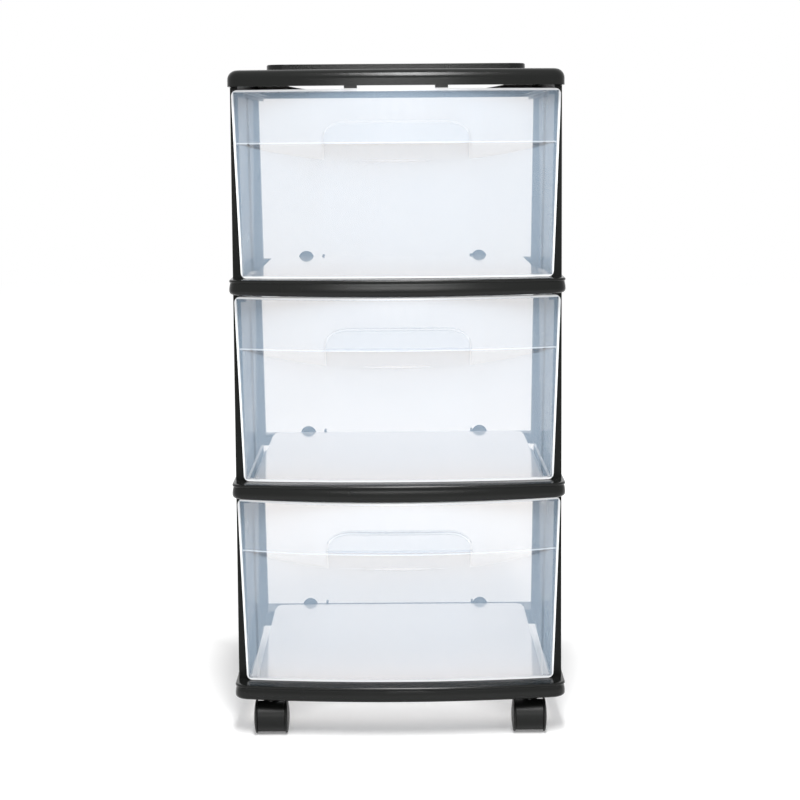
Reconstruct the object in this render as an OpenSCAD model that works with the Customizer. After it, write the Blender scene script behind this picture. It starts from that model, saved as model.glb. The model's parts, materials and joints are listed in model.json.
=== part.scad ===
// Rolling tower of three clear pull-out drawers in a black plastic frame.
// The frame is a base shelf, two middle shelves and a cap, held apart by six side panels.
// Each drawer hangs by its rim on runners that are moulded inside the panels.
// Origin: on the floor, under the middle of the tower. The drawers open towards -Y.

/* [Frame] */
// Width across the lips of the middle shelves
frame_w = 322; // [300:1:340]
// Depth from the crown of the lips to the back
frame_d = 366; // [350:1:400]
// How far a front lip bows out between its two ends
bow = 15; // [12:0.5:20]
// Radius of the front corners, seen from above
front_corner_r = 14; // [13:0.5:18]
// Radius of the rear corners, seen from above
rear_corner_r = 14; // [13:0.5:18]
// Height of the base shelf's deck above the floor
deck_z = 51.5; // [50:0.5:60]
// Height from one deck to the next
tier_h = 197; // [190:0.5:210]
// Wall of the black mouldings
wall = 2.4; // [2:0.1:3]
// Clearance between pieces that slip together
slip = 0.3; // [0.2:0.05:0.4]

/* [Shelves] */
// Height of a shelf's lip at its ends
lip_h = 14.5; // [12:0.5:15.5]
// How much lower the lip of a middle shelf hangs at its crown
lip_dip = 2; // [1:0.1:2.2]
// How much lower the lip of the base hangs at its crown
base_dip = 0.5; // [0.2:0.1:2.2]
// Radius of the roll along the lower edge of a lip
roll_r = 3.7; // [3:0.1:3.7]
// Radius of the thin bead along the upper edge of a lip
bead_r = 1.6; // [1.2:0.1:2]
// Depth of the groove between the bead and the swelling face of a lip
groove_d = 1.1; // [0.8:0.1:1.4]
// Depth of the front rail, from the crown of its lip
front_rail_d = 33; // [32:0.5:40]
// Width of a side rail
side_rail_w = 12.5; // [11:0.5:14]
// Width of the rear rail
rear_rail_w = 16; // [14:0.5:20]
// Thickness of the side rails, where the panels meet them
seat_t = 6; // [6:0.1:8]
// Radius of the inner corners of a shelf's ring
ring_corner_r = 10; // [5:0.5:16]
// Place of the left drawer stop, from the middle of the rear rail
stop_left_x = 101; // [60:1:120]
// Place of the right drawer stop
stop_right_x = 91; // [60:1:120]
// Radius of a drawer stop, a half disc that stands on the rear rail
stop_r = 8.5; // [6:0.5:10]
// Place of the two thin ribs beside the stops
stop_rib_x = 82; // [40:1:120]

/* [Cap] */
// Height of the cap's skirt
cap_h = 15.5; // [13:0.5:20]
// How much narrower the cap is than the shelves, on each side
cap_inset = 1.3; // [0:0.1:1.6]
// Radius of the cap's upper edge
cap_round_r = 9; // [5:0.5:10]
// Distance of the tray's rim from the sides of the cap
tray_inset_x = 36; // [30:1:60]
// Distance of the tray's rim from the crown of the cap
tray_inset_y = 36; // [30:1:60]
// Height of the tray's rim above the cap
tray_rim_h = 5.5; // [3:0.5:9]
// Width of the tray's rim
tray_rim_w = 5; // [4:0.5:8]
// Corner radius of the tray's rim
tray_corner_r = 16; // [10:1:30]
// Place of the two tabs under the front of the cap
tab_x = 42.7; // [20:0.1:80]
// Width of such a tab
tab_w = 12.2; // [8:0.1:20]
// How far such a tab hangs below the cap
tab_drop = 2.5; // [1:0.1:2.6]
// Depth of such a tab
tab_d = 6; // [4:0.5:10]
// How far the rear of the cap reaches below its skirt
rear_drop = 5.5; // [3:0.5:6]
// Width of that deeper rear part
rear_bar_w = 304; // [262:1:308]
// Height of the long grip slot in the rear of the cap
slot_h = 8; // [5:0.5:8.5]
// Height of the skirt below the slot
slot_sill = 2.5; // [1.5:0.5:2.5]
// Length of the straight bottom edge of the slot
slot_flat = 136; // [80:1:180]
// Length of the slot along its upper edge
slot_w = 258; // [220:1:280]

/* [Panels] */
// Distance from a shelf's outer edge to the outer face of a panel's top
panel_inset = 4.2; // [4.2:0.1:5]
// How far a panel stands out below its top, which fits inside the lip above
panel_step = 1.8; // [0:0.1:1.8]
// Distance between a panel and the turned-back edge of a drawer's front
panel_gap = 0.8; // [0.5:0.1:3]
// Depth of the posts along the front and rear edges of a panel
post_d = 12; // [8:0.5:20]
// Width of a post at its top
post_top_w = 5; // [4.5:0.1:5.5]
// Width of a post at its foot
post_foot_w = 8.3; // [6:0.1:8.3]
// Length of a tongue that plugs a post into a shelf
tongue_l = 8; // [4:0.5:10]
// Thickness of a tongue
tongue_t = 1.8; // [1.2:0.1:2]
// Height of a tongue
tongue_h = 2.2; // [1:0.1:2.3]
// Distance from a panel's outer face to its tongues
tongue_inset = 2.7; // [2.5:0.1:3]

/* [Drawers] */
// Gap between a drawer's front and the crown of the lip above
front_gap = 1; // [0.5:0.1:4]
// Distance from the side of the frame to a drawer's front, at its top
front_inset = 4; // [3.5:0.25:6]
// How much further in each side of a front is at its foot
front_taper = 6.75; // [4:0.25:8]
// Radius of the four corners of a drawer's front
front_round_r = 5.4; // [4:0.1:8]
// Wall of the drawers
drawer_wall = 2.2; // [1.8:0.1:2.6]
// Distance from the crown of the lips to the face of a drawer's lower front
face_set = 21; // [20:0.5:24]
// Height of the ledge under the bulging upper band
ledge_z = 128.5; // [110:0.5:140]
// Distance from the crown of the lips to the crown of the upper band
band_set = 4; // [3:0.5:8]
// How far the upper band bows out between its ends
band_bow = 32; // [28:0.5:36]
// Height of the slanting surface under the upper band
slant_h = 20; // [16:0.5:24]
// Depth of that slanting surface
slant_d = 17; // [14:0.5:20]
// Depth of the turned-back edge around a drawer's front
edge_d = 7; // [4:0.5:9]
// Width of the finger pocket
pocket_w = 137; // [100:1:180]
// Height of the top of the finger pocket
pocket_top = 147.5; // [140:0.5:156]
// Height of the foot of the finger pocket's sides
pocket_foot = 112; // [100:0.5:120]
// Reach of the pocket's rounded top corners along the width
pocket_corner_w = 21; // [10:0.5:30]
// Reach of those corners along the height
pocket_corner_h = 14; // [8:0.5:20]
// Clearance between a runner and the side of the drawer's box
box_gap = 3.3; // [2.3:0.1:4]
// How far each side of the box leans in towards its foot
box_taper = 3; // [1:0.25:5]
// Distance from the back of the tower to the drawer's back wall
box_back = 15; // [13:0.5:20]
// How far the back wall leans in towards its foot
box_lean = 2; // [1:0.5:4]
// Corner radius of the box
box_corner_r = 12; // [6:0.5:16]
// Reach of the rim around the top of the box
rim_reach = 6.5; // [5.5:0.1:7]
// Height of the runners that carry a drawer
runner_h = 3; // [2:0.5:5]
// Reach of a runner from the panel's outer face
runner_reach = 10.5; // [10:0.1:11]

/* [Casters] */
// Distance of a caster's stem from the side of the frame
caster_inset = 35; // [31:0.5:41]
// Distance of a front caster's stem from the crown of the lips
caster_front = 37; // [36:0.5:60]
// Distance of a rear caster's stem from the back
caster_rear = 33; // [30:0.5:60]
// Distance from the stem forward to the axle, as the casters stand after a push back
trail = 8; // [5:0.5:9]
// Radius of a wheel
wheel_r = 16.5; // [15:0.1:16.7]
// Thickness of a wheel's disc
wheel_t = 3.8; // [3:0.1:6]
// Width of the hood between the wheels
hood_w = 26.6; // [22:0.1:30]
// How much smaller the hood is than the wheels
hood_step = 1.5; // [1:0.1:3]
// Radius of the steel stem
stem_r = 4; // [3:0.1:5]
// Length of the stem above the caster
stem_l = 15.5; // [12:0.5:17]
// Radius of the neck that holds the stem
neck_r = 8.5; // [8:0.1:9]
// Radius of the steel axle
axle_r = 2.5; // [2:0.1:3]
// Radius of a wheel's hub
hub_r = 5.5; // [4.5:0.1:7]
// Running clearance around the stem and the axle
run = 0.06; // [0.02:0.01:0.1]

/* [Hidden] */

BLACK = [0.16, 0.16, 0.16];
CLEAR = [0.86, 0.91, 0.95, 0.45];
STEEL = [0.7, 0.7, 0.72];
WIDE_FN = 360;
ROUND_FN = 96;
CORNER_FN = 32;
ARC_STEPS = 6;
BEND_STEPS = 4;
BOW_STEPS = 24;
// How far a cutting solid reaches past what it cuts
OVER = 1;
// Depth by which one moulded form is sunk in another, so that they join cleanly
SINK = 0.05;
// Thickness of the slices between which a tapered form is stretched
SLICE = 0.01;

half_w = frame_w / 2;
caster_x = half_w - caster_inset;
front_top_w = frame_w - 2 * front_inset;
front_foot_w = front_top_w - 2 * front_taper;
crown_y = -frame_d / 2;
back_y = frame_d / 2;
bow_r = arc_radius(half_w, bow);
bow_y = crown_y + bow_r;
// Centre of a front corner's round, which touches the bow from inside
corner_x = half_w - front_corner_r;
corner_y = bow_y - sqrt(pow(bow_r - front_corner_r, 2) - pow(corner_x, 2));
bow_angle = asin(corner_x / (bow_r - front_corner_r));
// Angle between the ends of the bow and the next point of its outline
bow_step = bow_angle / BOW_STEPS;
rear_corner_x = half_w - rear_corner_r;
rear_corner_y = back_y - rear_corner_r;

// Decks, from the top tier down to the base
deck_1 = deck_z + 2 * tier_h;
deck_2 = deck_z + tier_h;
deck_3 = deck_z;
cap_z = deck_1 + tier_h - lip_h;
cap_top = cap_z + cap_h;

panel_x = half_w - panel_inset;
box_top_w = 2 * (panel_x - runner_reach - box_gap);
box_foot_w = box_top_w - 2 * box_taper;
// How far the part of a lip that holds the deck reaches inwards, just short of the panels' slots
strip_d = panel_inset + tongue_inset - 2 * slip;
panel_h = tier_h - seat_t;
// Height of the step under which a panel is at its full width
step_z = tier_h - lip_h - slip;
front_h = tier_h - lip_h - lip_dip - slip - front_gap;

face_y = crown_y + face_set;
face_r = bow_r;
face_end_y = face_y + arc_height(front_top_w / 2, face_r);
panel_y0 = face_end_y + edge_d + panel_gap;
// A panel ends where the rear corners start to round
panel_y1 = rear_corner_y;
band_y = crown_y + band_set;
band_r = arc_radius(front_top_w / 2, band_bow);
box_y = back_y - box_back;
rim_z = front_h - drawer_wall;

hood_r = wheel_r - hood_step;
boss_z = deck_z - stem_l - wall;
neck_top = boss_z - slip;
stem_foot = wheel_r;
boss_r = stem_r + wall;
pad_r = boss_r + wall;
// Depth of the recesses in both ends of a hood, and of the wheels' hubs that reach into them
recess = hood_w / 2 - neck_r;
hub_l = recess - wall / 2 - slip;

// Radius of an arc from half its chord and its height
function arc_radius(half_chord, height) = (pow(half_chord, 2) + pow(height, 2)) / (2 * height);

// Height of an arc from half its chord and its radius
function arc_height(half_chord, radius) = radius - sqrt(pow(radius, 2) - pow(half_chord, 2));

// Points along an arc of a circle or an ellipse
function arc(centre, rx, ry, from, to, steps) = [
    for (i = [0:steps])
        let (a = from + (to - from) * i / steps)
        [centre[0] + rx * cos(a), centre[1] + ry * sin(a)]
];

// Outline of a shelf from above, moved inwards
function shelf_outline(inset) =
    let (front_r = front_corner_r - inset, rear_r = rear_corner_r - inset, bow_end = bow_angle - bow_step)
        concat(
            arc([0, bow_y], bow_r - inset, bow_r - inset, -90 - bow_end, -90 + bow_end, BOW_STEPS),
            arc([corner_x, corner_y], front_r, front_r, bow_angle - 90, 0, ARC_STEPS),
            arc([rear_corner_x, rear_corner_y], rear_r, rear_r, 0, 90, ARC_STEPS),
            arc([-rear_corner_x, rear_corner_y], rear_r, rear_r, 90, 180, ARC_STEPS),
            arc([-corner_x, corner_y], front_r, front_r, 180, 270 - bow_angle, ARC_STEPS)
        );

// Outline of a deck, through the middles of a shelf outline's edges, so that no corners coincide
function deck_outline(inset) =
    let (points = shelf_outline(inset), count = len(points))
        [for (i = [0:count - 1]) (points[i] + points[(i + 1) % count]) / 2];

// Outline of a rectangle with round corners
function round_rect(x0, y0, x1, y1, r) = concat(
    arc([x1 - r, y1 - r], r, r, 0, 90, ARC_STEPS),
    arc([x0 + r, y1 - r], r, r, 90, 180, ARC_STEPS),
    arc([x0 + r, y0 + r], r, r, 180, 270, ARC_STEPS),
    arc([x1 - r, y0 + r], r, r, 270, 360, ARC_STEPS)
);

// Section of a lip as [outwards, upwards] points: deck edge, bead, groove, swelling face and roll
function lip_section() = concat(
    [[-strip_d, -SINK]],
    arc([-bead_r, -bead_r - SINK], bead_r, bead_r, 90, -50, BEND_STEPS),
    [for (i = [0:BEND_STEPS]) lip_point(i / BEND_STEPS)],
    [for (i = [1:ARC_STEPS]) lip_roll(roll_r, -90 * i / ARC_STEPS)],
    [for (i = [BEND_STEPS:-2:0]) lip_roll(roll_r - wall, -90 * i / BEND_STEPS)],
    [[-groove_d - wall, -3 * bead_r], [-groove_d - wall, SINK - wall], [-strip_d, SINK - wall]]
);
function lip_point(t) = [-groove_d * pow(1 - t, 2), -2 * bead_r + (roll_r - lip_h + 2 * bead_r) * t];
function lip_roll(r, angle) = [r * cos(angle) - roll_r, r * sin(angle) + roll_r - lip_h];

// Section of the cap's skirt, round at its upper edge
function cap_section() = concat(
    [[-cap_round_r - wall, -SINK]],
    arc([-cap_round_r, -cap_round_r], cap_round_r, cap_round_r - SINK, 90, 0, ARC_STEPS + 2),
    [[0, -cap_h], [-wall, -cap_h]],
    arc([-cap_round_r, -cap_round_r], cap_round_r - wall, cap_round_r - wall + SINK, 0, 90, BEND_STEPS),
    [[-cap_round_r - wall, SINK - wall]]
);

module mirrored() {
    children();
    mirror([1, 0, 0]) children();
}

// Closed rim whose section follows the outline of a shelf and hangs lower at the crown of the front
module rim(section, inset, dip) {
    rings = len(section);
    count = len(shelf_outline(inset));
    function at(ring, i) = (ring % rings) * count + i % count;
    polyhedron(
        points = [
            for (q = section)
                let (drop = dip * max(0, -q[1] - wall) / (lip_h - wall))
                    for (p = shelf_outline(inset - q[0]))
                        [p[0], p[1], q[1] - drop * front_share(p)]
        ],
        faces = [
            for (ring = [0:rings - 1], i = [0:count - 1])
                for (face = [
                    [at(ring, i), at(ring, i + 1), at(ring + 1, i + 1)],
                    [at(ring, i), at(ring + 1, i + 1), at(ring + 1, i)],
                ])
                    face
        ]
    );
}

// How far a point is from the ends of the front: 1 at the crown, 0 on the sides and the back
function front_share(p) = p[1] < corner_y ? 1 - pow(p[0] / half_w, 2) : 0;

// Places children at the four tongues or slots of one height, on both sides
module at_tongues() {
    mirrored()
        for (y = [panel_y0 + post_d / 2, panel_y1 - post_d / 2])
            translate([panel_x - tongue_inset - tongue_t / 2, y, 0])
                children();
}

module tongue_slots(height) {
    at_tongues()
        cube([tongue_t + 2 * slip, tongue_l + 2 * slip, 2 * height], center = true);
}

// Deck of a shelf: front, side and rear rails around an open middle
module deck() {
    rail_x = half_w - side_rail_w;
    difference() {
        union() {
            translate([0, 0, -wall])
                linear_extrude(height = wall)
                    difference() {
                        polygon(deck_outline(roll_r));
                        polygon(round_rect(
                            -rail_x,
                            crown_y + front_rail_d,
                            rail_x,
                            back_y - rear_rail_w,
                            ring_corner_r
                        ));
                    }
            mirrored()
                translate([rail_x, panel_y0 - wall, -seat_t])
                    cube([side_rail_w - roll_r, panel_y1 - panel_y0 + wall, seat_t]);
        }
        tongue_slots(tongue_h + slip);
        translate([0, 0, -seat_t]) tongue_slots(tongue_h + slip);
    }
}

// Half discs and ribs on the rear rail, which a closed drawer meets
module rear_stops() {
    stop_y = box_y + slip;
    for (x = [-stop_left_x, stop_right_x])
        intersection() {
            translate([x, stop_y, 0])
                rotate([-90, 0, 0])
                    cylinder(r = stop_r, h = wall, $fn = ROUND_FN);
            translate([x - stop_r, stop_y, -wall])
                cube([2 * stop_r, wall, stop_r + wall]);
        }
    for (x = [-stop_rib_x, stop_rib_x])
        translate([x - wall / 2, stop_y, -wall])
            cube([wall, back_y - roll_r - stop_y, wall + stop_r / 2]);
}

// One shelf around the height of its deck; the lip dips at its crown
module shelf(dip) {
    deck();
    rear_stops();
    rim(lip_section(), 0, dip);
}

module shelf_1() {
    color(BLACK) translate([0, 0, deck_1]) shelf(lip_dip);
}

module shelf_2() {
    color(BLACK) translate([0, 0, deck_2]) shelf(lip_dip);
}

// Places children at a caster's stem: side is -1 or 1, end is -1 at the front and 1 at the rear
module at_stem(side, end) {
    translate([side * caster_x, end < 0 ? crown_y + caster_front : back_y - caster_rear, 0])
        children();
}

// Boss for a caster's stem, with two webs below the deck and a pad inside its thickness
module caster_boss(side, end) {
    height = deck_z - boss_z;
    web_x = half_w - wall - caster_x;
    web_y = caster_front / 2;
    pad_x = web_x - side_rail_w / 2;
    cylinder(r = boss_r, h = height, $fn = ROUND_FN);
    translate([side < 0 ? -web_x : 0, -wall / 2, 0])
        cube([web_x, wall, height]);
    translate([-wall / 2, end < 0 ? -web_y : 0, 0])
        cube([wall, web_y, height]);
    translate([side < 0 ? -pad_x : -pad_r, end < 0 ? -web_y : -pad_r, height - wall])
        cube([pad_x + pad_r, web_y + pad_r, wall]);
}

module base_shelf() {
    color(BLACK)
        difference() {
            union() {
                translate([0, 0, deck_z]) shelf(base_dip);
                for (side = [-1, 1], end = [-1, 1])
                    at_stem(side, end)
                        translate([0, 0, boss_z]) caster_boss(side, end);
            }
            for (side = [-1, 1], end = [-1, 1])
                at_stem(side, end)
                    translate([0, 0, boss_z - OVER])
                        cylinder(r = stem_r + run, h = stem_l + OVER + slip, $fn = ROUND_FN);
        }
}

// Long slot through the rear of the cap, whose lower edge rises in curves at both ends
module grip_slot() {
    rise_r = arc_radius((slot_w - slot_flat) / 2, slot_h);
    sill_z = cap_z - cap_top + slot_sill;
    translate([0, back_y + OVER, sill_z])
        rotate([90, 0, 0])
            linear_extrude(height = cap_round_r + cap_inset + OVER)
                intersection() {
                    translate([-slot_w / 2, 0]) square([slot_w, slot_h]);
                    union() {
                        translate([-slot_flat / 2, 0]) square([slot_flat, slot_h]);
                        for (side = [-1, 1])
                            translate([side * slot_flat / 2, rise_r]) circle(r = rise_r, $fn = WIDE_FN);
                    }
                }
}

// Raised rim of the tray on top of the cap
module tray_rim() {
    x = half_w - cap_inset - tray_inset_x;
    y0 = crown_y + tray_inset_y;
    y1 = back_y - tray_inset_x;
    module ring(inset, height) {
        linear_extrude(height = height)
            difference() {
                polygon(round_rect(inset - x, y0 + inset, x - inset, y1 - inset, tray_corner_r - inset));
                polygon(round_rect(
                    tray_rim_w - inset - x,
                    y0 + tray_rim_w - inset,
                    x - tray_rim_w + inset,
                    y1 - tray_rim_w + inset,
                    tray_corner_r - tray_rim_w + inset
                ));
            }
    }
    // Two small steps round the rim's upper edges
    edge = tray_rim_w / 5;
    translate([0, 0, -wall / 2]) ring(0, tray_rim_h + wall / 2 - edge);
    translate([0, 0, -wall / 2]) ring(edge / 3, tray_rim_h + wall / 2 - edge / 3);
    translate([0, 0, -wall / 2]) ring(edge, tray_rim_h + wall / 2);
}

// Section of the rail inside the cap, on which the panels of the top tier end
module cap_seat_section() {
    seat_z = deck_1 + panel_h - cap_top;
    outer_x = half_w - cap_inset - wall / 2;
    polygon([
        [half_w - side_rail_w, seat_z],
        [outer_x, seat_z],
        [outer_x, seat_z + wall],
        [half_w - side_rail_w + cap_round_r / 2, -wall / 2],
        [half_w - side_rail_w, -wall / 2],
    ]);
}

// Deeper rear part of the cap's skirt
module rear_bar() {
    translate([0, 0, -cap_h - rear_drop])
        linear_extrude(height = rear_drop + slot_sill / 2)
            intersection() {
                difference() {
                    polygon(deck_outline(cap_inset + SINK));
                    polygon(deck_outline(cap_inset + wall - SINK));
                }
                translate([-rear_bar_w / 2, rear_corner_y])
                    square([rear_bar_w, rear_corner_r]);
            }
}

module cap() {
    color(BLACK)
        translate([0, 0, cap_top])
            difference() {
                union() {
                    translate([0, 0, -wall])
                        linear_extrude(height = wall)
                            polygon(deck_outline(cap_inset + cap_round_r + wall / 3));
                    rim(cap_section(), cap_inset, 0);
                    tray_rim();
                    mirrored()
                        translate([0, panel_y1, 0])
                            rotate([90, 0, 0])
                                linear_extrude(height = panel_y1 - panel_y0) cap_seat_section();
                    rear_bar();
                    mirrored()
                        translate([tab_x - tab_w / 2, crown_y + cap_inset + wall, -cap_h - tab_drop])
                            cube([tab_w, tab_d, tab_drop + wall]);
                    mirrored()
                        translate([tab_x - wall / 2, crown_y + cap_inset + wall, -cap_h])
                            cube([wall, tab_d, cap_h / 2]);
                }
                grip_slot();
                translate([0, 0, deck_1 + panel_h - cap_top]) tongue_slots(tongue_h + slip);
            }
}

// Post along the front or rear edge of a panel, wider at its foot
module post() {
    rotate([90, 0, 0])
        linear_extrude(height = post_d, center = true)
            polygon([
                [panel_x - post_foot_w, 0],
                [panel_x + panel_step, 0],
                [panel_x + panel_step, step_z],
                [panel_x, step_z],
                [panel_x, panel_h],
                [panel_x - post_top_w, panel_h],
            ]);
}

// Section of a panel's wall, which steps in where it enters the lip above
module panel_section() {
    polygon([
        [panel_x + panel_step - wall, 0],
        [panel_x + panel_step, 0],
        [panel_x + panel_step, step_z],
        [panel_x, step_z],
        [panel_x, panel_h],
        [panel_x - wall, panel_h],
        [panel_x - wall, step_z - wall],
        [panel_x + panel_step - wall, step_z - wall - panel_step],
    ]);
}

// Panel on the +X side, standing on z = 0
module panel() {
    translate([0, panel_y1, 0])
        rotate([90, 0, 0])
            linear_extrude(height = panel_y1 - panel_y0) panel_section();
    for (y = [panel_y0 + post_d / 2, panel_y1 - post_d / 2])
        translate([0, y, 0]) {
            post();
            translate([panel_x - tongue_inset - tongue_t, -tongue_l / 2, -tongue_h])
                cube([tongue_t, tongue_l, panel_h + 2 * tongue_h]);
        }
    translate([panel_x - runner_reach, panel_y0, rim_z - runner_h])
        cube([runner_reach + panel_step - wall / 2, panel_y1 - panel_y0, runner_h]);
}

module panel_at(deck_height, side) {
    color(BLACK)
        translate([0, 0, deck_height])
            if (side > 0) panel();
            else mirror([1, 0, 0]) panel();
}

// Space behind a drawer's front face: lower bow, bulging band and the slant between them
module behind_front(inset) {
    union() {
        behind_lower_face(inset);
        translate([0, band_y + band_r, ledge_z])
            cylinder(r = band_r - inset, h = front_h - ledge_z + OVER, $fn = WIDE_FN);
        translate([0, band_y + band_r, ledge_z - slant_h])
            cylinder(r1 = band_r - slant_d - inset, r2 = band_r - inset, h = slant_h, $fn = WIDE_FN);
    }
}

// Space behind the bow of a front's lower part
module behind_lower_face(inset) {
    translate([0, face_y + face_r, -OVER])
        cylinder(r = face_r - inset, h = front_h + 2 * OVER, $fn = 2 * WIDE_FN);
}

// Outline of a drawer's front, narrower at its foot
module front_outline(inset) {
    slope = (front_top_w - front_foot_w) / 2 / front_h;
    foot = front_foot_w / 2 - inset + slope * inset;
    top = front_top_w / 2 - inset - slope * inset;
    r = front_round_r - inset;
    polygon(concat(
        arc([top - r, front_h - inset - r], r, r, 0, 90, ARC_STEPS),
        arc([r - top, front_h - inset - r], r, r, 90, 180, ARC_STEPS),
        arc([r - foot, inset + r], r, r, 180, 270, ARC_STEPS),
        arc([foot - r, inset + r], r, r, 270, 360, ARC_STEPS)
    ));
}

// Outline of the finger pocket, an arch with elliptical shoulders
module pocket_outline(grow, foot_z) {
    x = pocket_w / 2 + grow;
    rx = pocket_corner_w + grow;
    rz = pocket_corner_h + grow;
    polygon(concat(
        arc([x - rx, pocket_top + grow - rz], rx, rz, 0, 90, ARC_STEPS),
        arc([rx - x, pocket_top + grow - rz], rx, rz, 90, 180, ARC_STEPS),
        [[-x, foot_z], [x, foot_z]]
    ));
}

// Extrudes an outline drawn in x and z from the front of the tower to the drawer's inside
module through_front() {
    translate([0, face_end_y + edge_d + OVER, 0])
        rotate([90, 0, 0])
            linear_extrude(height = face_end_y + edge_d + 2 * OVER - crown_y)
                children();
}

// Front of a drawer: a thin wall that follows the face, with a turned-back edge
module drawer_front() {
    difference() {
        intersection() {
            through_front() front_outline(0);
            behind_front(0);
        }
        difference() {
            through_front() front_outline(drawer_wall);
            difference() {
                behind_front(0);
                behind_front(drawer_wall);
            }
        }
        translate([0, edge_d, 0]) behind_lower_face(0);
    }
}

// Block of plastic around the finger pocket
module pocket_walls() {
    difference() {
        intersection() {
            through_front() pocket_outline(drawer_wall, pocket_foot);
            behind_front(0);
        }
        behind_lower_face(drawer_wall);
    }
}

// Finger pocket: open downwards, in front of the lower face and behind the upper band
module pocket_space() {
    difference() {
        union() {
            intersection() {
                through_front() pocket_outline(0, 0);
                translate([-pocket_w, crown_y, ledge_z - slant_h - OVER])
                    cube([2 * pocket_w, band_bow, slant_h + OVER]);
            }
            intersection() {
                through_front() pocket_outline(0, ledge_z - OVER);
                translate([0, band_y + band_r, ledge_z - OVER])
                    cylinder(r = band_r - drawer_wall, h = front_h, $fn = WIDE_FN);
            }
        }
        behind_lower_face(0);
    }
}

// Tapered box with round rear corners, from the front wall to the back
module box_solid(inset, floor_z, top_z) {
    module slice(width, back, z) {
        r = box_corner_r - inset;
        x = width / 2 - inset - r;
        translate([0, 0, z])
            linear_extrude(height = SLICE) {
                for (side = [-1, 1])
                    translate([side * x, back - inset - r]) circle(r = r, $fn = CORNER_FN);
                translate([-x - r, face_y]) square([2 * (x + r), SLICE]);
            }
    }
    hull() {
        slice(box_foot_w, box_y - box_lean, floor_z);
        slice(box_top_w, box_y, top_z);
    }
}

module drawer_box() {
    intersection() {
        difference() {
            box_solid(0, 0, front_h - SLICE);
            box_solid(drawer_wall, drawer_wall, front_h + OVER);
        }
        behind_front(drawer_wall / 2);
    }
}

// Rim that reaches out from the top of the box along both sides and the back
module drawer_rim() {
    module plan(grow, wide) {
        r = box_corner_r + grow;
        x = wide / 2 + grow;
        polygon(concat(
            [[x, face_end_y]],
            arc([x - r, box_y + grow - r], r, r, 0, 90, ARC_STEPS),
            arc([r - x, box_y + grow - r], r, r, 90, 180, ARC_STEPS),
            [[-x, face_end_y]]
        ));
    }
    translate([0, 0, rim_z])
        linear_extrude(height = drawer_wall)
            difference() {
                plan(rim_reach, box_top_w);
                plan(-drawer_wall / 2, box_top_w);
            }
}

module drawer(deck_height) {
    color(CLEAR)
        translate([0, 0, deck_height + slip])
            difference() {
                union() {
                    drawer_front();
                    pocket_walls();
                    drawer_box();
                    drawer_rim();
                }
                pocket_space();
            }
}

// Hood of a caster: a drum between the wheels, with a neck that holds the stem
module caster_hood(side, end) {
    color(BLACK)
        at_stem(side, end)
            difference() {
                union() {
                    translate([0, -trail, wheel_r])
                        rotate([0, 90, 0])
                            cylinder(r = hood_r, h = hood_w, center = true, $fn = ROUND_FN);
                    translate([0, 0, wheel_r]) cylinder(r = neck_r, h = neck_top - wheel_r, $fn = ROUND_FN);
                }
                for (x = [-hood_w / 2 - OVER, neck_r])
                    translate([x, -trail, wheel_r])
                        rotate([0, 90, 0])
                            cylinder(r = hood_r - wall, h = recess + OVER, $fn = ROUND_FN);
                translate([0, -trail, wheel_r])
                    rotate([0, 90, 0])
                        cylinder(r = axle_r, h = hood_w, center = true, $fn = ROUND_FN);
                translate([0, 0, stem_foot]) cylinder(r = stem_r, h = neck_top, $fn = ROUND_FN);
            }
}

module caster_stem(side, end) {
    color(STEEL)
        at_stem(side, end)
            translate([0, 0, stem_foot])
                cylinder(r = stem_r, h = boss_z + stem_l - stem_foot, $fn = ROUND_FN);
}

module caster_axle(side, end) {
    axle_l = hood_w + 2 * slip + wheel_t;
    color(STEEL)
        at_stem(side, end)
            translate([0, -trail, wheel_r])
                rotate([0, 90, 0])
                    cylinder(r = axle_r, h = axle_l, center = true, $fn = ROUND_FN);
}

// Half section of a wheel: a domed disc with a hub behind it, x is the radius
module wheel_section() {
    bore_r = axle_r + run;
    edge_r = wheel_t / 4;
    dome_r = arc_radius(wheel_r, wheel_t / 2);
    dome_angle = asin((wheel_r - edge_r) / dome_r);
    polygon(concat(
        [[bore_r, -hub_l], [hub_r, -hub_l], [hub_r, 0]],
        arc([wheel_r - edge_r, edge_r], edge_r, edge_r, -90, 20, ARC_STEPS),
        arc([0, wheel_t - dome_r], dome_r, dome_r, 90 - dome_angle, 90, ARC_STEPS),
        [[0, wheel_t / 2 + 2 * slip], [bore_r, wheel_t / 2 + 2 * slip]]
    ));
}

module wheel(side, end, face) {
    color(BLACK)
        at_stem(side, end)
            translate([face * (hood_w / 2 + slip), -trail, wheel_r])
                rotate([0, face * 90, 0])
                    rotate_extrude($fn = ROUND_FN)
                        wheel_section();
}

cap();
shelf_1();
shelf_2();
base_shelf();
panel_at(deck_1, -1);  // panel_1_left
panel_at(deck_1, 1);  // panel_1_right
panel_at(deck_2, -1);  // panel_2_left
panel_at(deck_2, 1);  // panel_2_right
panel_at(deck_3, -1);  // panel_3_left
panel_at(deck_3, 1);  // panel_3_right
drawer(deck_1);  // drawer_1
drawer(deck_2);  // drawer_2
drawer(deck_3);  // drawer_3
caster_hood(-1, -1);  // caster_hood_fl
caster_hood(1, -1);  // caster_hood_fr
caster_hood(-1, 1);  // caster_hood_rl
caster_hood(1, 1);  // caster_hood_rr
caster_stem(-1, -1);  // caster_stem_fl
caster_stem(1, -1);  // caster_stem_fr
caster_stem(-1, 1);  // caster_stem_rl
caster_stem(1, 1);  // caster_stem_rr
caster_axle(-1, -1);  // caster_axle_fl
caster_axle(1, -1);  // caster_axle_fr
caster_axle(-1, 1);  // caster_axle_rl
caster_axle(1, 1);  // caster_axle_rr
wheel(-1, -1, -1);  // wheel_fl_left
wheel(-1, -1, 1);  // wheel_fl_right
wheel(1, -1, -1);  // wheel_fr_left
wheel(1, -1, 1);  // wheel_fr_right
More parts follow.
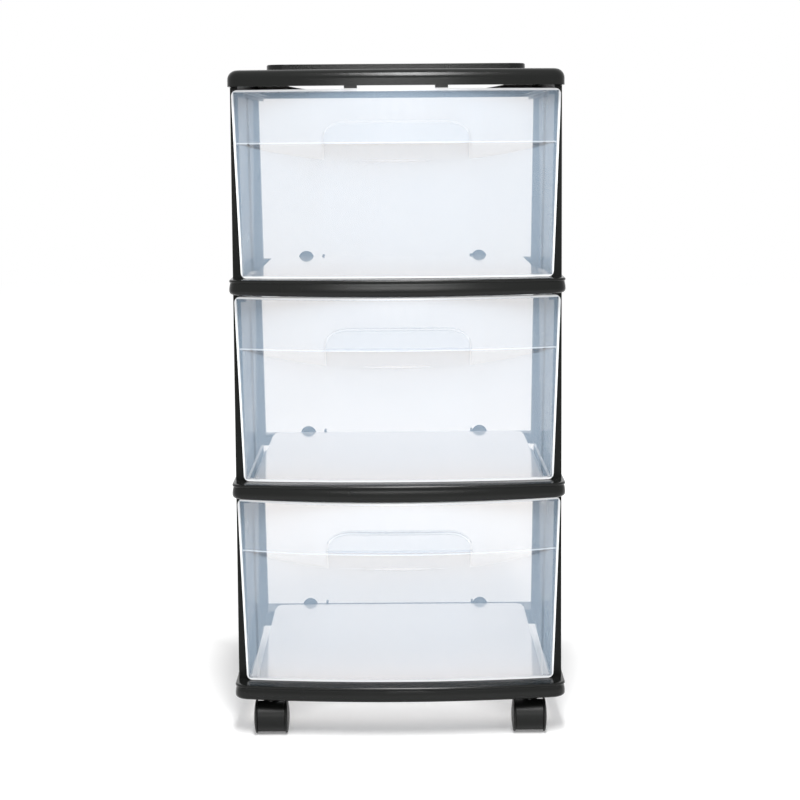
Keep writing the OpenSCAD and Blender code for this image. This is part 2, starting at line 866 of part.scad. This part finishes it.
wheel(-1, 1, -1);  // wheel_rl_left
wheel(-1, 1, 1);  // wheel_rl_right
wheel(1, 1, -1);  // wheel_rr_left
wheel(1, 1, 1);  // wheel_rr_right
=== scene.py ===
# %% [markdown]
# A rolling tower of three clear drawers. The real one is a stack of black injection-moulded
# shelves and side panels, and each drawer hangs by its rim inside them. Everything that has a
# working shape could be modelled anew here, but it comes from the CAD frame, in metres and in its
# place, so that nothing has to be fitted. What Blender adds is the skin: rounded edges, and
# plastic that shines and hazes the way the real ones do.

# %% Start from the frame
import json
import math

import bmesh
import bpy
import numpy as np
from mathutils import Matrix, Vector


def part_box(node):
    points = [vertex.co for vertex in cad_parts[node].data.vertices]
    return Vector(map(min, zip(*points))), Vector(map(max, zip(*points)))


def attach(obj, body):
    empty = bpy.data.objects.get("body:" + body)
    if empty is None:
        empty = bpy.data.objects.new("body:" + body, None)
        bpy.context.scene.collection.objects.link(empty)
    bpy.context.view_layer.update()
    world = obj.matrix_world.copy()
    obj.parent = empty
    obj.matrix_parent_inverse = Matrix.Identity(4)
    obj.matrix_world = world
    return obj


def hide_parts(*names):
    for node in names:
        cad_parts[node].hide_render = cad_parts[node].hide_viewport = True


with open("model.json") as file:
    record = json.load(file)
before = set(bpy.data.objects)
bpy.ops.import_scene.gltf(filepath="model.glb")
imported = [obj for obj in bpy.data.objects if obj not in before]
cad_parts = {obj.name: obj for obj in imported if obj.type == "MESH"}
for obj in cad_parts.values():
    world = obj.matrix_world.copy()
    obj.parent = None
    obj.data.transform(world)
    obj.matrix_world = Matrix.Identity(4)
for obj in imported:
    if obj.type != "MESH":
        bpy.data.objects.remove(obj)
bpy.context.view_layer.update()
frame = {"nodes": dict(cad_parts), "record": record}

nodes = frame["nodes"]
body_of_node = {
    node: body
    for body, names in frame["record"]["behaviour"]["bodies"].items()
    for node in names
}
slot_of_node = {part["node"]: part["material_slot"] for part in frame["record"]["subparts"]}

# %% [markdown]
# The camera stands where the photographer stood: about two metres in front of the tower, a
# little below its top, and tilted down by six degrees. The place, the lens and the tilt were
# worked out from the corners of the tower in the photograph. The picture was cropped, so a small
# shift puts the tower at its place in the frame, instead of a turn that would bend its sides.

# %% Camera at the photograph's viewing angle
CAMERA_PLACE = (0, -2.120, 0.5825)
LENS_MM = 92.55
FILM_MM = 36
TILT_DOWN = 0.1094
ROLL = -0.0072
SHIFT = (0.0026, -0.0500)

camera = bpy.data.objects.new("camera", bpy.data.cameras.new("camera"))
bpy.context.collection.objects.link(camera)
camera.data.sensor_width = FILM_MM
camera.data.lens = LENS_MM
camera.data.shift_x, camera.data.shift_y = SHIFT
camera.matrix_world = (
    Matrix.Translation(CAMERA_PLACE)
    @ Matrix.Rotation(math.pi / 2 - TILT_DOWN, 4, "X")
    @ Matrix.Rotation(ROLL, 4, "Z")
)
bpy.context.scene.camera = camera
bpy.context.scene.view_settings.view_transform = "Standard"
print("camera: lens", LENS_MM, "mm, looking down by", round(math.degrees(TILT_DOWN), 1), "degrees")

# %% [markdown]
# Every finish below is a small network of shader nodes. Each node could be made and joined by
# hand in four lines, but the same few kinds come back all the time. These helpers make one node
# and hand back the socket that carries its result, so that a formula reads from left to right.

# %% Short ways to add shader nodes
def add(tree, kind, **inputs):
    """One node of that kind, with its plain input values set by name."""
    node = tree.nodes.new(kind)
    for name, value in inputs.items():
        node.inputs[name].default_value = value
    return node


def maths(tree, operation, *values):
    """The result of a Math node. A value is a number, or the socket that it comes from."""
    node = tree.nodes.new("ShaderNodeMath")
    node.operation = operation
    for socket, value in zip(node.inputs, values):
        if isinstance(value, (int, float)):
            socket.default_value = value
        else:
            tree.links.new(value, socket)
    return node.outputs[0]


def from_to(tree, value, low, high):
    """low where the value is 0, high where it is 1, and in step between the two."""
    node = add(tree, "ShaderNodeMapRange", **{"To Min": low, "To Max": high})
    tree.links.new(value, node.inputs["Value"])
    return node.outputs[0]


def colour_between(tree, share, first, second):
    """The first colour where the share is 0, the second where it is 1, and mixed between."""
    node = tree.nodes.new("ShaderNodeMix")
    node.data_type = "RGBA"
    node.inputs["A"].default_value = (*first, 1)
    node.inputs["B"].default_value = (*second, 1)
    tree.links.new(share, node.inputs["Factor"])
    return node.outputs["Result"]


print("helpers: add, maths, from_to, colour_between")

# %% [markdown]
# Noise gives moulded plastic its slight unevenness. It could come from a picture, but a picture
# has an end and a resolution. A noise texture that reads Object coordinates is in real metres,
# stays on the piece when the piece moves, and is as fine as one likes.

# %% Clouds in real metres
def object_place(tree):
    """The socket with a point's place in its object, in metres."""
    return tree.nodes.new("ShaderNodeTexCoord").outputs["Object"]


def clouds(tree, per_metre, detail):
    """Soft clouds from 0 to 1, with about that many lumps to the metre."""
    noise = add(tree, "ShaderNodeTexNoise", Scale=per_metre, Detail=detail)
    tree.links.new(object_place(tree), noise.inputs["Vector"])
    return noise.outputs[0]


print("clouds: measured in metres, and fixed to the piece")

# %% [markdown]
# Product photographs have a pure white background, yet the object isn't flooded with light. A
# stronger lamp would whiten the background and the object alike. Instead, the Light Path node
# tells which rays look at the room: those of the camera, of a shine, or through a clear wall.
# Only they get the full white.

# %% Which rays see the room itself
def seen_directly(tree):
    """1 for a camera ray, a ray of a shine or one through glass, and 0 for the rest."""
    rays = tree.nodes.new("ShaderNodeLightPath").outputs
    camera_or_shine = maths(tree, "MAXIMUM", rays["Is Camera Ray"], rays["Is Glossy Ray"])
    return maths(tree, "MAXIMUM", camera_or_shine, rays["Is Transmission Ray"])


print("rays that see the room: camera, glossy and transmission")

# %% [markdown]
# A studio for plastic is a white room. For the rays above it has a strength of 1, which is
# white. Where it only lights the tower it is dimmer, so that pale plastic keeps its tint and
# doesn't clip.

# %% Light the room
WHITE = (1, 1, 1)
ROOM_LIGHT = 0.69

room = bpy.data.worlds.new("room")
room.use_nodes = True
bpy.context.scene.world = room
background = room.node_tree.nodes["Background"]
background.inputs["Color"].default_value = (*WHITE, 1)
room_strength = from_to(room.node_tree, seen_directly(room.node_tree), ROOM_LIGHT, 1.0)
room.node_tree.links.new(room_strength, background.inputs["Strength"])
print("room: lights with", ROOM_LIGHT, "and shows as 1")

# %% [markdown]
# Two soft lamps do the rest. The bright lines along the rolled lips of the shelves and the shadow
# just under the tower say that a long lamp hung above the front. A sun would draw hard edges, so
# both are rectangles of light. The weaker one stands behind the camera and fills the fronts.

# %% Hang two soft lamps
def soft_lamp(name, place, aim, size, watts):
    """A rectangle of light at a place, turned so that its face looks at the aim."""
    lamp = bpy.data.lights.new(name, "AREA")
    lamp.shape = "RECTANGLE"
    lamp.size, lamp.size_y = size
    lamp.energy = watts
    holder = bpy.data.objects.new(name, lamp)
    bpy.context.collection.objects.link(holder)
    holder.location = place
    holder.rotation_mode = "QUATERNION"
    holder.rotation_quaternion = (Vector(aim) - Vector(place)).to_track_quat("-Z", "Y")
    print("lamp", name, "at", place, "with", watts, "W")


soft_lamp("key", (0.06, -1.30, 2.20), (0, -0.1, 0.5), (0.34, 1.25), 50)
soft_lamp("front", (0.0, -2.70, 0.95), (0, 0, 0.35), (0.8, 0.5), 11)

# %% [markdown]
# In the photograph the floor is as white as the background, and only the dark patch under the
# tower gives it away. A plain white floor turns grey, because the lamps don't fall on it
# squarely. A little light of its own, for direct rays alone, lifts it to white. It is weakest
# under the rails at the tower's outline, which is painted shadow, and strong again under the
# tower's open middle, which is painted light.

# %% The floor's own light, with painted shadow and painted light
RAILS_AT = 0.15
LIFT_NEAR, LIFT_FAR = 0.02, 0.11
LIFT_LOW, LIFT_HIGH = 0.17, 0.42


def floor_glow_painted_shadow(tree):
    """Light of its own: it grows smoothly with the distance from the rails' square outline, so it
    paints a shadow at the rails and paints light under the tower's open middle.

    That distance is the larger of |x| and |y|, less half the square's side, without its sign.
    """
    size_of = tree.nodes.new("ShaderNodeVectorMath")
    size_of.operation = "ABSOLUTE"
    tree.links.new(object_place(tree), size_of.inputs[0])
    parts = tree.nodes.new("ShaderNodeSeparateXYZ")
    tree.links.new(size_of.outputs["Vector"], parts.inputs[0])
    reach = maths(tree, "MAXIMUM", parts.outputs["X"], parts.outputs["Y"])
    away = maths(tree, "ABSOLUTE", maths(tree, "SUBTRACT", reach, RAILS_AT))
    lift = add(tree, "ShaderNodeMapRange", **{"From Min": LIFT_NEAR, "From Max": LIFT_FAR})
    lift.inputs["To Min"].default_value = LIFT_LOW
    lift.inputs["To Max"].default_value = LIFT_HIGH
    lift.interpolation_type = "SMOOTHSTEP"
    tree.links.new(away, lift.inputs["Value"])
    return lift.outputs[0]


print("floor's own light: from", LIFT_LOW, "at the rails to", LIFT_HIGH, "away from them")

# %% [markdown]
# The rest of the floor is matt paper: a diffuse surface whose tone drifts a little over a few
# decimetres, as painted board does. One even tone would do for the camera in front, but from
# above the floor fills the picture.

# %% Finish of the floor
FLOOR_TONES = (0.80, 0.84)
FLOOR_CLOUDS_PER_METRE = 3.33

pale_floor = bpy.data.materials.new("pale_floor")
pale_floor.use_nodes = True
tree = pale_floor.node_tree
tree.nodes.clear()
matt = tree.nodes.new("ShaderNodeBsdfDiffuse")
glow = tree.nodes.new("ShaderNodeEmission")
both = tree.nodes.new("ShaderNodeAddShader")
drift = clouds(tree, FLOOR_CLOUDS_PER_METRE, 2.0)
tree.links.new(from_to(tree, drift, *FLOOR_TONES), matt.inputs["Color"])
# Painted shadow and painted light: the floor's glow is dim along the rails and bright under the
# tower's middle.
glow_painted_shadow_seen = maths(tree, "MULTIPLY", seen_directly(tree), floor_glow_painted_shadow(tree))
tree.links.new(glow_painted_shadow_seen, glow.inputs["Strength"])
tree.links.new(matt.outputs[0], both.inputs[0])
tree.links.new(glow.outputs[0], both.inputs[1])
out = tree.nodes.new("ShaderNodeOutputMaterial")
tree.links.new(both.outputs[0], out.inputs["Surface"])
print("floor finish:", len(tree.nodes), "nodes")

# %% [markdown]
# The floor itself is one large flat face. A curved backdrop would hide the horizon, but here the
# floor and the room are equally white, so that there is no line to hide.

# %% Lay the floor
FLOOR_REACH = 6.0

corners = np.array([[-1, -1, 0], [1, -1, 0], [1, 1, 0], [-1, 1, 0]]) * FLOOR_REACH
floor_mesh = bpy.data.meshes.new("floor")
floor_mesh.from_pydata(corners.tolist(), [], [(0, 1, 2, 3)])
floor_mesh.materials.append(pale_floor)
floor = bpy.data.objects.new("floor", floor_mesh)
bpy.context.collection.objects.link(floor)
print("floor:", 2 * FLOOR_REACH, "m square")

# %% [markdown]
# All opaque parts are moulded. Moulded plastic is one colour in the mass, but its skin isn't: it
# is a touch lighter and duller where the mould was rougher, and a fine grain catches the light.
# A flat colour with one roughness would look like a drawing, so clouds drive the tone and the
# roughness together, and finer ones raise the grain as bump.

# %% A recipe for opaque moulded plastic
CLOUDS_PER_METRE = 14.0
GRAIN_STRENGTH = 0.35


def moulded(name, dark, light, rough, grain_size, grain_depth, shine=0.5):
    """Opaque plastic. Tone and roughness go from first to second with the clouds; grain is bump.

    The shine is how much of the room an upright surface mirrors; 0.5 is plain plastic.
    """
    material = bpy.data.materials.new(name)
    material.use_nodes = True
    tree = material.node_tree
    shader = tree.nodes["Principled BSDF"]
    shader.inputs["Specular IOR Level"].default_value = shine
    patches = clouds(tree, CLOUDS_PER_METRE, 3.0)
    tone = colour_between(tree, patches, dark, light)
    bump = add(tree, "ShaderNodeBump", Strength=GRAIN_STRENGTH, Distance=grain_depth)
    tree.links.new(clouds(tree, 1 / grain_size, 2.0), bump.inputs["Height"])
    tree.links.new(tone, shader.inputs["Base Color"])
    tree.links.new(from_to(tree, patches, *rough), shader.inputs["Roughness"])
    tree.links.new(bump.outputs[0], shader.inputs["Normal"])
    return material


print("recipe: moulded plastic, with clouds of", round(1000 / CLOUDS_PER_METRE), "mm")

# %% [markdown]
# The shelves and the cap are glossier than the casters, whose moulds are textured, and the large
# flat panels mirror least of all, or they would turn grey in a white room. The stems and axles
# are plated steel, which has the same unevenness, so it is made by the same recipe as a metal.

# %% Black plastic and steel
DARKEST, DARK = (0.003, 0.0035, 0.003), (0.004, 0.0045, 0.004)

black_plastic = moulded(
    "black_plastic", DARK, (0.007, 0.0075, 0.007), (0.15, 0.20), 0.0009, 0.0002, shine=0.2
)
caster_plastic = moulded(
    "caster_plastic", DARK, (0.008, 0.0085, 0.008), (0.30, 0.42), 0.0007, 0.0002, shine=0.2
)
panel_plastic = moulded(
    "panel_plastic", DARKEST, (0.005, 0.0055, 0.005), (0.22, 0.30), 0.0009, 0.0002, shine=0.12
)
steel = moulded("steel", (0.42, 0.42, 0.43), (0.55, 0.55, 0.56), (0.25, 0.35), 0.0015, 0.0001)
steel.node_tree.nodes["Principled BSDF"].inputs["Metallic"].default_value = 1.0
print("opaque finishes:", [m.name for m in (black_plastic, caster_plastic, panel_plastic, steel)])

# %% [markdown]
# The drawers are clear polypropylene, which is never as clear as glass. It could be rendered
# with true refraction, but many thin walls behind each other then go dark and noisy. Here a wall
# is a mix: what lies behind shows straight through, slightly stained, under a haze of tinted
# plastic. The haze grows where the wall is seen edge-on, as it does when light has to cross more
# of the plastic. Every wall has two faces, so a ray meets each haze twice.

# %% A recipe for clear plastic
CLEAR_ROUGHNESS = 0.22
CLEAR_IOR = 1.49
CLEAR_CLOUDS_PER_METRE = 9.0


def clear(name, tint, stain, haze, edge):
    """Share of haze: clouds between the two values, plus edge times the cube of how edge-on it is."""
    material = bpy.data.materials.new(name)
    material.use_nodes = True
    tree = material.node_tree
    shader = tree.nodes["Principled BSDF"]
    shader.inputs["Base Color"].default_value = (*tint, 1)
    shader.inputs["Roughness"].default_value = CLEAR_ROUGHNESS
    shader.inputs["IOR"].default_value = CLEAR_IOR
    through = add(tree, "ShaderNodeBsdfTransparent", Color=(*stain, 1))
    edge_on = add(tree, "ShaderNodeLayerWeight", Blend=0.5).outputs["Facing"]
    steep = maths(tree, "POWER", edge_on, 3.0)
    patches = from_to(tree, clouds(tree, CLEAR_CLOUDS_PER_METRE, 2.0), *haze)
    share = maths(tree, "MULTIPLY_ADD", steep, edge, patches)
    mix = tree.nodes.new("ShaderNodeMixShader")
    tree.links.new(share, mix.inputs[0])
    tree.links.new(through.outputs[0], mix.inputs[1])
    tree.links.new(shader.outputs[0], mix.inputs[2])
    tree.links.new(mix.outputs[0], tree.nodes["Material Output"].inputs["Surface"])
    return material


print("recipe: clear plastic, a mix of see-through and haze")

# %% [markdown]
# The rest of a drawer has four variants. The side walls are nearly invisible. The floor is
# polished and hazy, and a faint glow of its own is painted light that makes it slightly bright.
# The rims, which are turned towards the camera edge-on, look milky white: partly the haze of the
# plastic, partly a painted highlight. The small rounds where two walls meet get a blue-grey
# painted reflection of the dark surroundings, which draws thin lines.

# %% Side walls, floor, rims and creases
clear_plastic = clear("clear_plastic", (0.80, 0.86, 0.93), (0.99, 0.99, 0.992), (0.02, 0.04), 0.05)
floor_plastic = clear("floor_plastic", (0.97, 0.98, 1.0), WHITE, (0.34, 0.40), 1.1)
# Rims and turned-back edges: milky haze of the plastic, and a painted highlight that whitens it.
rim_haze_and_painted_highlight = clear("rim_haze_and_painted_highlight", (0.97, 0.99, 1.0), WHITE, (0.75, 0.85), 0.1)
# Painted reflection: a blue-grey tint along the creases stands for the dark surroundings.
crease_painted_reflection = clear("crease_painted_reflection", (0.36, 0.50, 0.64), WHITE, (0.70, 0.80), 0.1)

# Painted light: the Emission values make the drawer's floor glow brighter than its lighting.
FLOOR_POLISH_AND_PAINTED_GLOW = {
    "Roughness": 0.10,
    "Specular IOR Level": 1.0,
    "Coat Weight": 1.0,
    "Coat IOR": 2.2,
    "Coat Roughness": 0.05,
    "Emission Color": (0.95, 0.97, 1.0, 1),
    "Emission Strength": 0.25,
}
for name, value in FLOOR_POLISH_AND_PAINTED_GLOW.items():
    floor_plastic.node_tree.nodes["Principled BSDF"].inputs[name].default_value = value
print("floor of a drawer: polished by", len(FLOOR_POLISH_AND_PAINTED_GLOW), "values")

# %% [markdown]
# The front is the drawer's show side. Its outline gathers light and glows white, and so does the
# line of the ledge where the upper band bulges out. These lines could be modelled as strips, but
# on the real drawer they are only light in the plastic, so the finish paints them in as white
# highlights. For that it works out how far each point is from the outline, and needs the sizes of
# the front, in metres.

# %% Sizes of a drawer's front
FRONT_TOP_W = 0.314
FRONT_TAPER = 0.00675
FRONT_H = 0.1792
LEDGE_Z = 0.1285
POCKET_W = 0.137
POCKET_WALL_Y = -0.167
OUTLINE_PAINTED_HIGHLIGHT = (0.0021, 0.9)
LEDGE_PAINTED_HIGHLIGHT = (0.0009, 0.5)
foot_w = round(FRONT_TOP_W - 2 * FRONT_TAPER, 4)
print("front:", FRONT_TOP_W, "m wide at the top and", foot_w, "at the foot")

# %% [markdown]
# Object coordinates travel with a drawer, so the lines stay in place when it slides out. Across
# the front they are all that is needed. The height is read from an attribute instead, called
# height_in_drawer and written onto the mesh further down, because the three drawers hang at
# three heights and share this one material.

# %% How far a point is from the outline and the ledge
def near_line(tree, away, reach, most):
    """most within three quarters of the reach, 0 past five quarters of it, and in step between."""
    near = add(tree, "ShaderNodeMapRange", **{"From Min": reach * 1.25, "From Max": reach * 0.75})
    near.inputs["To Max"].default_value = most
    tree.links.new(away, near.inputs["Value"])
    return near.outputs[0]


def painted_line_highlights(tree, across, height):
    """The painted highlight of the lines, from how far a point is from each.

    The outline is a trapezium: its half width is that of the foot, plus the taper times the
    height over the front's height. The distance to it is the least of those to the side, the top
    and the foot. The ledge's is the height less the ledge's, without sign.
    """
    half_foot = FRONT_TOP_W / 2 - FRONT_TAPER
    half_width = maths(tree, "MULTIPLY_ADD", height, FRONT_TAPER / FRONT_H, half_foot)
    from_side = maths(tree, "SUBTRACT", half_width, across)
    from_top = maths(tree, "SUBTRACT", FRONT_H, height)
    outline = maths(tree, "MINIMUM", maths(tree, "MINIMUM", from_side, from_top), height)
    from_ledge = maths(tree, "ABSOLUTE", maths(tree, "SUBTRACT", height, LEDGE_Z))
    lines = near_line(tree, outline, *OUTLINE_PAINTED_HIGHLIGHT), near_line(tree, from_ledge, *LEDGE_PAINTED_HIGHLIGHT)
    return maths(tree, "MAXIMUM", *lines)


print("glow: within", OUTLINE_PAINTED_HIGHLIGHT[0], "m of the outline and", LEDGE_PAINTED_HIGHLIGHT[0], "m of the ledge")

# %% [markdown]
# The finger pocket is a second wall behind the front, so that four faces lie behind each other
# there instead of two, and the haze would double. In the photograph the pocket is as pale as the
# rest. Its inner wall therefore keeps a quarter of the haze, and doesn't stain what is behind it.

# %% Where the pocket's inner wall is
POCKET_HAZE = 0.25


def in_pocket(tree, across, depth, height):
    """1 where a point is behind the pocket's mouth, above the ledge and within its width, else 0."""
    inwards = maths(tree, "GREATER_THAN", depth, POCKET_WALL_Y)
    above = maths(tree, "GREATER_THAN", height, LEDGE_Z)
    beside = maths(tree, "LESS_THAN", across, POCKET_W / 2)
    return maths(tree, "MULTIPLY", maths(tree, "MULTIPLY", inwards, above), beside)


print("pocket:", POCKET_W, "m wide, with", POCKET_HAZE, "of the haze")

# %% [markdown]
# The front's finish starts as the clear plastic above, and then the lines and the pocket are
# worked into it. The same material could be copied and painted by hand for each drawer, but
# worked out like this it fits all three. Its tint is the blue that it shows in the photograph
# before the dark sides of the tower. Milky plastic scatters blue and lets the warm rest through,
# so the stain is a little warm, and the middle of the drawer comes out neutral.

# %% Finish of a drawer's front
FRONT_TINT = (0.53, 0.71, 0.91)
FRONT_STAIN = (0.985, 0.935, 0.89)

front_plastic = clear("front_plastic", FRONT_TINT, FRONT_STAIN, (0.21, 0.25), 0.30)
tree = front_plastic.node_tree
mix = tree.nodes["Mix Shader"]
place = tree.nodes.new("ShaderNodeSeparateXYZ")
tree.links.new(object_place(tree), place.inputs[0])
across = maths(tree, "ABSOLUTE", place.outputs["X"])
height_node = tree.nodes.new("ShaderNodeAttribute")
height_node.attribute_name = "height_in_drawer"
height = height_node.outputs["Fac"]
# Painted highlight lines along the outline and the ledge.
lines = painted_line_highlights(tree, across, height)
pocket = in_pocket(tree, across, place.outputs["Y"], height)

haze = mix.inputs[0].links[0].from_socket
kept_haze = maths(tree, "MULTIPLY_ADD", pocket, POCKET_HAZE - 1, 1.0)
share = maths(tree, "MAXIMUM", maths(tree, "MULTIPLY", haze, kept_haze), lines)
stain = colour_between(tree, pocket, FRONT_STAIN, WHITE)
# Painted highlight: the haze turns white along the outline and the ledge.
tint = colour_between(tree, lines, FRONT_TINT, WHITE)
tree.links.new(share, mix.inputs[0])
tree.links.new(stain, tree.nodes["Transparent BSDF"].inputs["Color"])
tree.links.new(tint, tree.nodes["Principled BSDF"].inputs["Base Color"])
print("front finish:", len(tree.nodes), "nodes")

# %% [markdown]
# A drawer is one CAD node, but its parts need different finishes. It could be cut up, yet its
# faces already say what they are: the front lies foremost, the floor is low and level, the rim
# is high and level, and the edge turned back around the front looks sideways. The surface that
# slants back under the ledge is as clear as the side walls. So the choice is worked out for all
# faces at once, from the place of each face's middle and the direction it looks. Later lines win
# over earlier ones.

# %% Which plastic a face of a drawer shows
SIDES, FRONT, FLOOR, RIM, CREASE = range(5)
DRAWER_FINISHES = (clear_plastic, front_plastic, floor_plastic, rim_haze_and_painted_highlight, crease_painted_reflection)
FRONT_REACH = 0.036
TURNED_BACK_REACH, TURNED_BACK_X = 0.045, 0.1455
SKIN = 0.004
SLANT_BELOW, SLANT_ABOVE = 0.022, 0.001
SQUARELY = 0.9


def read_faces(mesh, what):
    """One vector for each face, as an array with a row for each."""
    values = np.empty(len(mesh.polygons) * 3)
    mesh.polygons.foreach_get(what, values)
    return values.reshape(-1, 3)


def share_out(mesh, low, high):
    """Gives each face the number of its finish, by its place in the drawer and its direction."""
    x, y, z = read_faces(mesh, "center").T
    facing_x, _, facing_z = read_faces(mesh, "normal").T
    finish = np.full(len(x), SIDES)
    finish[y < low.y + FRONT_REACH] = FRONT
    finish[(z < low.z + SKIN) & (np.abs(facing_z) > SQUARELY)] = FLOOR
    # Rims and turned-back edges take the white painted highlight.
    finish[(z > high.z - SKIN) & (np.abs(facing_z) > SQUARELY)] = RIM
    turned_back = (y < low.y + TURNED_BACK_REACH) & (np.abs(x) > TURNED_BACK_X)
    finish[turned_back & (np.abs(facing_x) > SQUARELY)] = RIM
    over_ledge = z - low.z - LEDGE_Z
    slant = (over_ledge > -SLANT_BELOW) & (over_ledge < SLANT_ABOVE) & (facing_z < -0.3)
    finish[(finish == FRONT) & slant] = SIDES
    mesh.polygons.foreach_set("material_index", finish)
    return np.bincount(finish, minlength=len(DRAWER_FINISHES))


print("finishes of a drawer:", [m.name for m in DRAWER_FINISHES])

# %% [markdown]
# The front's finish asks each point for its height in the drawer. An attribute carries it: a
# number stored on every vertex, which Blender spreads evenly over each face. The height itself
# is linear, so it stays exact on faces of any size. A finished glow stored this way wouldn't,
# and would smear over the large flat faces.

# %% Height above the drawer's foot, on every vertex
def write_height(mesh, foot):
    """The attribute height_in_drawer is a vertex's Z, less that of the drawer's foot."""
    places = np.empty(len(mesh.vertices) * 3)
    mesh.vertices.foreach_get("co", places)
    height = places[2::3] - foot
    mesh.attributes.new("height_in_drawer", "FLOAT", "POINT").data.foreach_set("value", height)
    return height.max()


print("attribute: height_in_drawer")

# %% [markdown]
# No moulded edge is perfectly sharp, and a sharp one catches no light. The CAD meshes are loose
# triangles, so a copy of each is merged first, and flat areas become single faces. After that,
# edges that turn by less than 28 degrees are shaded smooth, and the sharper ones are rounded in
# the next step. Fillets in the CAD would do it too, but those are for the large rounds that
# shape the part.

# %% A merged copy of a CAD mesh
MERGE_WITHIN = 2e-6
FLAT_WITHIN = math.radians(0.05)
SHARP = math.radians(28)


def merged_copy(node):
    """The node's mesh with its doubled vertices made one and its flat triangles joined."""
    mesh = nodes[node].data.copy()
    mesh.materials.clear()
    b = bmesh.new()
    b.from_mesh(mesh)
    bmesh.ops.remove_doubles(b, verts=b.verts, dist=MERGE_WITHIN)
    bmesh.ops.dissolve_limit(b, angle_limit=FLAT_WITHIN, verts=b.verts, edges=b.edges)
    b.to_mesh(mesh)
    b.free()
    mesh.shade_smooth()
    mesh.set_sharp_from_angle(angle=SHARP)
    return mesh


print("merging: vertices within", MERGE_WITHIN * 1e6, "micrometres")

# %% [markdown]
# The rounds are under a millimetre, as a mould leaves them. They could be cut into the mesh at
# once, but a live modifier keeps the merged copy simple, and its width can still be changed.

# %% Round the sharp edges
def round_edges(piece, width):
    """Two small facets in place of each sharp edge, as wide as told."""
    rounding = piece.modifiers.new("rounding", "BEVEL")
    rounding.width = width
    rounding.segments = 2
    rounding.limit_method = "ANGLE"
    rounding.angle_limit = SHARP
    rounding.use_clamp_overlap = True
    return rounding


print("edges sharper than", round(math.degrees(SHARP)), "degrees are rounded")

# %% [markdown]
# Each finished piece takes the place of its CAD node. The CAD node stays in the physics model,
# and the piece rides on the same body, so a drawer's skin slides with the drawer. The steel pins
# get no rounds, because their ends are hidden in the hoods.

# %% Dress one node
FINISH_OF_SLOT = {"black_plastic": black_plastic, "caster_plastic": caster_plastic, "steel": steel}
ROUND_OF_SLOT = {"clear_plastic": 0.0007, "black_plastic": 0.0004, "caster_plastic": 0.0004}


def dress(node):
    """A finished piece for a CAD node: its merged mesh with rounded edges and its plastic."""
    slot = slot_of_node[node]
    mesh = merged_copy(node)
    piece = bpy.data.objects.new(node + "_finished", mesh)
    bpy.context.collection.objects.link(piece)
    if slot == "clear_plastic":
        low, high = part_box(node)
        for finish in DRAWER_FINISHES:
            mesh.materials.append(finish)
        counts = share_out(mesh, low, high)
        print(node, "faces by finish", counts.tolist(), "height", round(write_height(mesh, low.z), 4))
    else:
        mesh.materials.append(panel_plastic if node.startswith("panel") else FINISH_OF_SLOT[slot])
    if slot in ROUND_OF_SLOT:
        rounding = round_edges(piece, ROUND_OF_SLOT[slot])
        if slot == "clear_plastic":
            # The rounds take the blue-grey painted reflection.
            rounding.material = CREASE
    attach(piece, body_of_node[node])
    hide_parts(node)
    return piece


print("rounds in mm:", {slot: width * 1000 for slot, width in ROUND_OF_SLOT.items()})

# %% [markdown]
# Now every node is dressed. The shelves, panels, drawers and casters of the real tower are all
# mouldings with the same kinds of edges, so one loop does for all of them.

# %% Dress the tower
pieces = [dress(node) for node in nodes]
face_count = sum(len(piece.data.polygons) for piece in pieces)
print("pieces:", len(pieces), "with", face_count, "faces before rounding")
